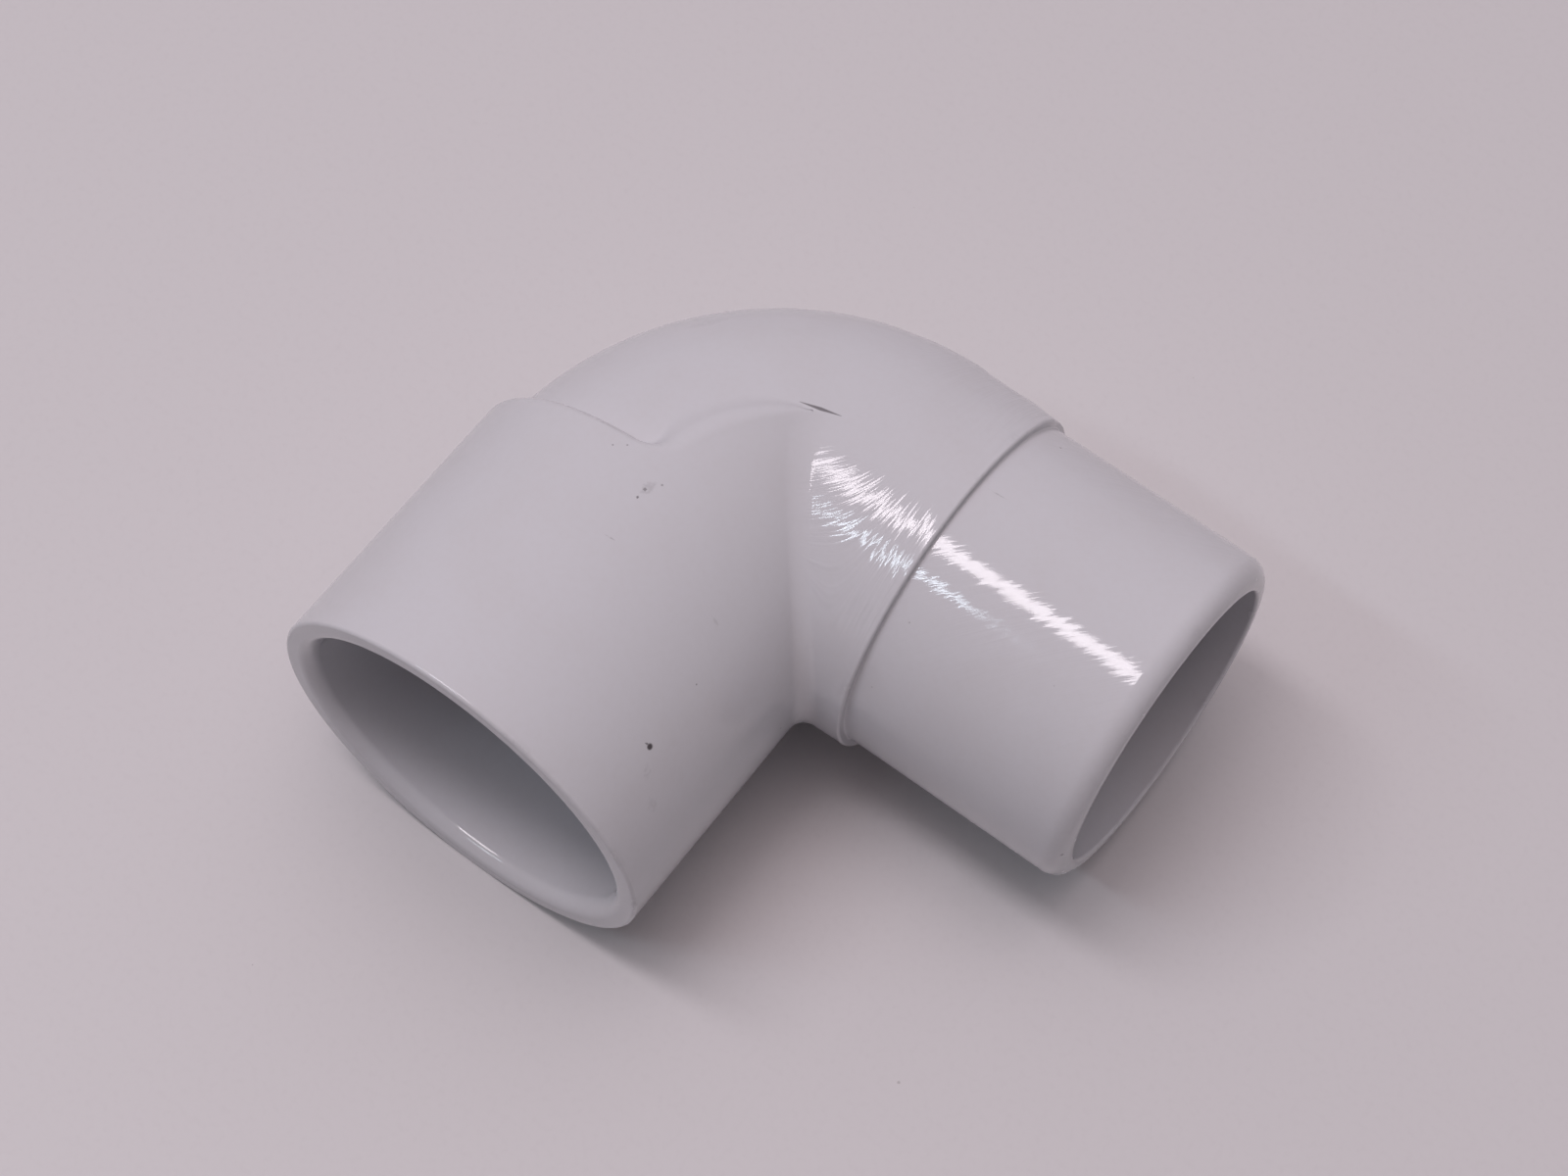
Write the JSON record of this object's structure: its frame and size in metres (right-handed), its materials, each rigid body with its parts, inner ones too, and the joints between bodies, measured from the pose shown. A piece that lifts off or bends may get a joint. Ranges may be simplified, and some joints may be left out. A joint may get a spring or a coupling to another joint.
{
  "type": "street elbow pipe fitting",
  "caption": "White moulded PVC 90 degree street elbow: a plain socket for solvent-weld pipe at one end and a round-nosed spigot of the pipe's own size at the other.",
  "frame": {"origin": "centre of the pipe stop inside the socket, where the end of the mating pipe seats", "axes": "-Y out of the socket's mouth, +X out along the spigot, +Z square to the plane of the two centrelines, which cross at y = 28.5 mm"},
  "size_m": [0.0952, 0.086, 0.0564],
  "materials": {
    "white_pvc": "glossy moulded white PVC with fine handling scratches"
  },
  "bodies": {
    "root": {"elbow_body": "white_pvc"}
  },
  "joints": []
}
